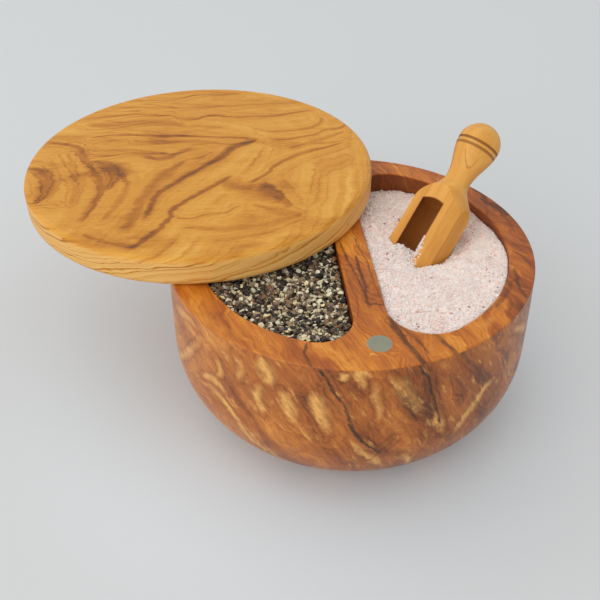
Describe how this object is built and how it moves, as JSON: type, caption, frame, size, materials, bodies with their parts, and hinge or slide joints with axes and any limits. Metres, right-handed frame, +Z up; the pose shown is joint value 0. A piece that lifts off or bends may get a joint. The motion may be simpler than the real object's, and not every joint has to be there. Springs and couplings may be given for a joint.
{
  "type": "salt box",
  "caption": "Round wooden salt and pepper box with two side-by-side compartments, a magnet-held lid that swivels on a pin, and a small turned scoop.",
  "frame": {"origin": "centre of the bowl's flat foot, on the surface that it stands on", "axes": "+Z up out of the bowl, which is the short way of the whole; the divider runs along Y, with the magnet at its -Y end and the lid's pivot at its +Y end; the salt compartment is on +X"},
  "size_m": [0.1853, 0.1826, 0.0982],
  "materials": {
    "bowl_wood": "oiled red-brown olive wood with dark veins, satin",
    "lid_wood": "oiled honey-gold olive wood with brown flowing grain, satin",
    "scoop_wood": "oiled plain honey-coloured wood, satin",
    "magnet": "satin nickel plating",
    "steel": "bright drawn steel",
    "salt": "fine pale pink salt grains",
    "pepper": "coarse cracked black pepper"
  },
  "bodies": {
    "box": {"bowl": "bowl_wood", "pivot_pin": "steel", "bowl_magnet": "magnet", "salt": "salt", "pepper": "pepper"},
    "lid": {"lid": "lid_wood", "lid_magnet": "magnet"},
    "scoop": {"scoop": "scoop_wood"}
  },
  "joints": [
    {"name": "lid_swivel", "type": "hinge", "parent": "box", "child": "lid", "pos_m": [0, 0.0526, 0.066], "axis": [0, 0, 1], "range_deg": [0, 86.9]},
    {"name": "scoop_lift", "type": "slide", "parent": "box", "child": "scoop", "axis": [0.5643, 0.5028, 0.6547], "range_m": [0, 0.0925]}
  ],
  "couplings": [
    {"joint": "scoop_lift", "follows": "lid_swivel", "m_per_rad": 0.0606}
  ]
}
